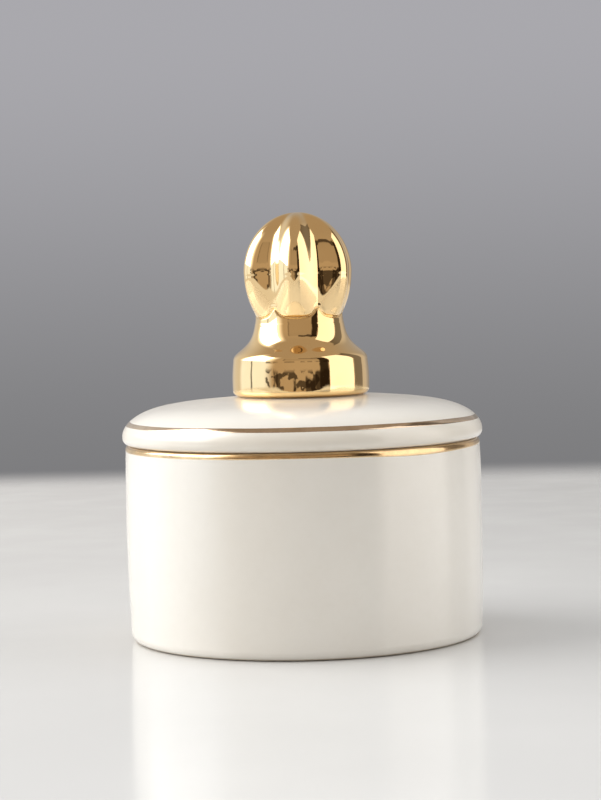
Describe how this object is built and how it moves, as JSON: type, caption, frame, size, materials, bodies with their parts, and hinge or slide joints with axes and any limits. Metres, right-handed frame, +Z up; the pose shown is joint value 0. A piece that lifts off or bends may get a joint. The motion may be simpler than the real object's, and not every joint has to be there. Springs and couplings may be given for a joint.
{
  "type": "lidded trinket box",
  "caption": "Round glazed white ceramic box with a lift-off domed lid, fine gold lines on rim and lid shoulder, and a lobed gold finial knob.",
  "frame": {"origin": "centre of the plane that the foot ring rests on", "axes": "+Z up along the axis of the box, lid and knob; -Y towards the viewer of the front, where a lobe of the ball faces"},
  "size_m": [0.101, 0.101, 0.1186],
  "materials": {
    "white_glaze": "glossy warm white glaze",
    "gold_line": "fired bright gold line, metallic",
    "gold_lustre": "mirror gold lustre over glaze, metallic",
    "slip_joint": "matt fired slip"
  },
  "bodies": {
    "box": {"box_body": "white_glaze", "box_rim_gold_line": "gold_line"},
    "lid": {"lid": "white_glaze", "lid_gold_line": "gold_line", "knob": "gold_lustre", "knob_slip_joint": "slip_joint"}
  },
  "joints": [
    {"name": "lid_lift", "type": "slide", "parent": "box", "child": "lid", "axis": [0, 0, 1], "range_m": [0, 0.08]}
  ]
}
